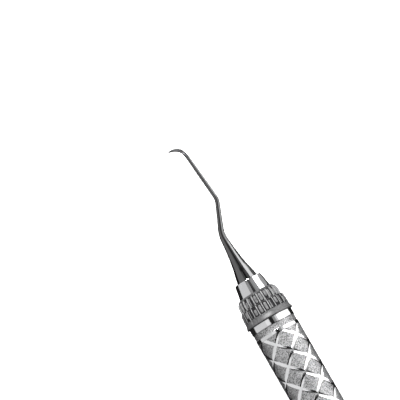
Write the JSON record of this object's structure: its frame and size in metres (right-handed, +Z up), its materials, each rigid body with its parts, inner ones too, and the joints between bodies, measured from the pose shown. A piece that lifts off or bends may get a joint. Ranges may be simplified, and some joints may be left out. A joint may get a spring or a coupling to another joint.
{
  "type": "dental hand scaler",
  "caption": "Double-ended dental scaler: a cross-hatched hollow steel handle with ribbed grey collars and hooked, bent steel tips that scrape deposits off teeth.",
  "frame": {"origin": "on the surface the instrument lies on, under the middle of its length", "axes": "+X along the handle towards the front working end, +Z up away from the surface; the front tip's hook points towards +Y"},
  "size_m": [0.1762, 0.0102, 0.0103],
  "materials": {
    "handle_steel": "bead-blasted on the diamond pads of the grip and in the end grooves, polished in the cross-hatched grooves and on the end bands",
    "bush_steel": "turned",
    "cone_steel": "polished stainless steel",
    "tip_steel": "polished hardened steel, ground along the blade",
    "collar_resin": "satin moulded resin",
    "seal_rubber": "matt"
  },
  "bodies": {
    "handle": {"handle_tube": "handle_steel", "front_end_bush": "bush_steel", "rear_end_bush": "bush_steel"},
    "front_seal": {"front_seal_ring": "seal_rubber"},
    "front_working_end": {"front_nose_cone": "cone_steel", "front_id_collar": "collar_resin", "front_scaler_tip": "tip_steel"},
    "rear_seal": {"rear_seal_ring": "seal_rubber"},
    "rear_working_end": {"rear_nose_cone": "cone_steel", "rear_id_collar": "collar_resin", "rear_scaler_tip": "tip_steel"}
  },
  "joints": [
    {"name": "front_screw_travel", "type": "slide", "parent": "handle", "child": "front_seal", "axis": [1, 0, 0], "range_m": [0, 0.006]},
    {"name": "front_unscrew", "type": "hinge", "parent": "front_seal", "child": "front_working_end", "pos_m": [0, 0, 0.00514], "axis": [1, 0, 0], "range_deg": [0, 2880]},
    {"name": "rear_screw_travel", "type": "slide", "parent": "handle", "child": "rear_seal", "axis": [-1, 0, 0], "range_m": [0, 0.006]},
    {"name": "rear_unscrew", "type": "hinge", "parent": "rear_seal", "child": "rear_working_end", "pos_m": [0, 0, 0.00514], "axis": [-1, 0, 0], "range_deg": [0, 2880]}
  ],
  "couplings": [
    {"joint": "front_unscrew", "follows": "front_screw_travel", "rad_per_m": 8377.6},
    {"joint": "rear_unscrew", "follows": "rear_screw_travel", "rad_per_m": 8377.6}
  ]
}
